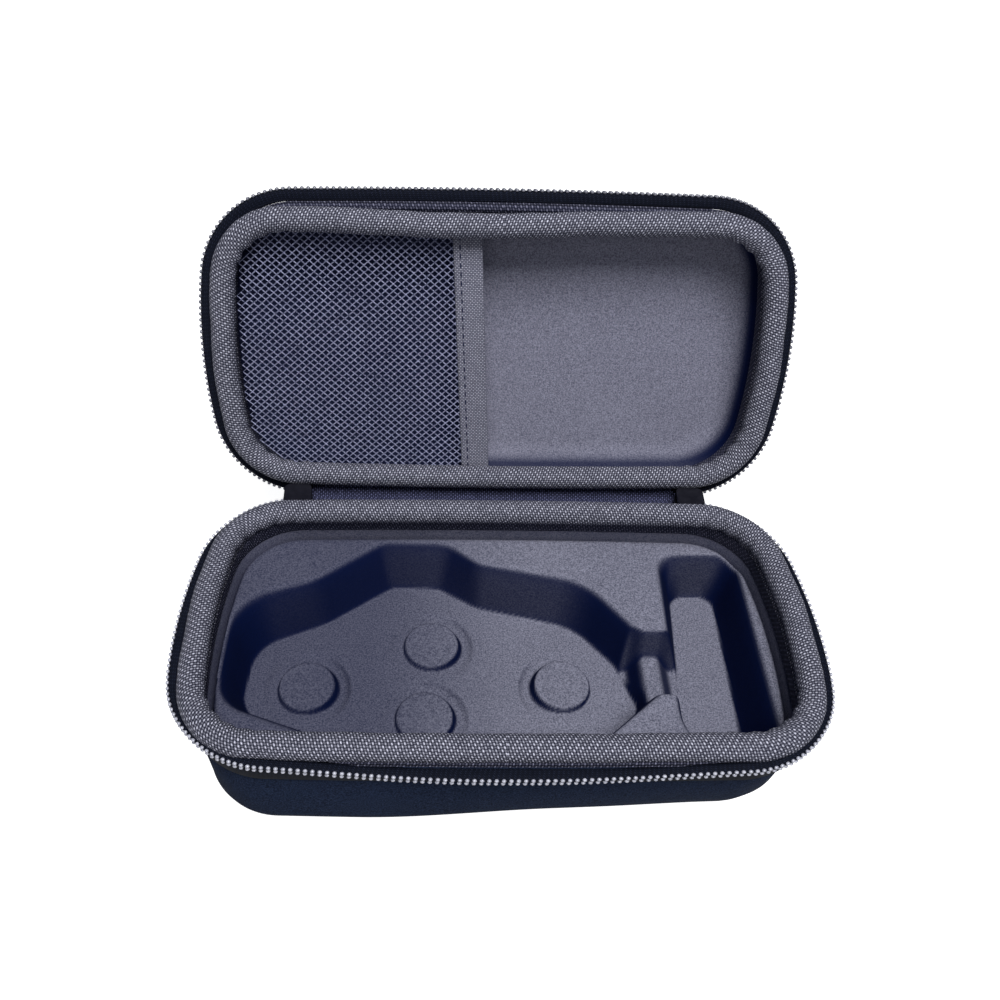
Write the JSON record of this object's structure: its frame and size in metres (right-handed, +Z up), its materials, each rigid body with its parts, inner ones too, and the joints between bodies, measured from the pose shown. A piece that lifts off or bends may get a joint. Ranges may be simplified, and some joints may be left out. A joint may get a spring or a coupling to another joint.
{
  "type": "mouse carrying case",
  "caption": "Long rounded zip case for a computer mouse, standing open: fitted tray with a mouse hollow and a long slot, padded rims, and a lid with a mesh pocket.",
  "frame": {"origin": "centre of the base's flat underside", "axes": "+X to the right as the open case faces the user, +Y to the hinge at the back, +Z up out of the tray"},
  "size_m": [0.213, 0.1774, 0.1399],
  "materials": {
    "skin": "matt",
    "binding": "matt",
    "zip_tape": "matt",
    "zip_coil": "satin",
    "tray_lining": "matt",
    "net": "matt",
    "elastic": "matt",
    "slider_metal": "satin black"
  },
  "bodies": {
    "base": {"base_shell": "skin", "base_binding": "binding", "base_zip_tape": "zip_tape", "base_zip_coil": "zip_coil", "hinge_strip": "skin", "insert_tray": "tray_lining", "left_slider": "slider_metal", "right_slider": "slider_metal"},
    "lid": {"lid_shell": "skin", "lid_binding": "binding", "lid_zip_tape": "zip_tape", "lid_zip_coil": "zip_coil", "pocket_net": "net", "pocket_band": "elastic"},
    "left_pull": {"left_pull": "slider_metal"},
    "right_pull": {"right_pull": "slider_metal"}
  },
  "joints": [
    {"name": "lid_hinge", "type": "hinge", "parent": "base", "child": "lid", "pos_m": [0, 0.05308, 0.04377], "axis": [-1, 0, 0], "range_deg": [-113, 12], "deforming": ["hinge_strip"]},
    {"name": "left_pull_hinge", "type": "hinge", "parent": "base", "child": "left_pull", "pos_m": [-0.07346, 0.05631, 0.0375], "axis": [0.0453, -0.999, 0], "range_deg": [-85, 65]},
    {"name": "right_pull_hinge", "type": "hinge", "parent": "base", "child": "right_pull", "pos_m": [0.07346, 0.05631, 0.0375], "axis": [0.0453, 0.999, 0], "range_deg": [-85, 65]}
  ]
}
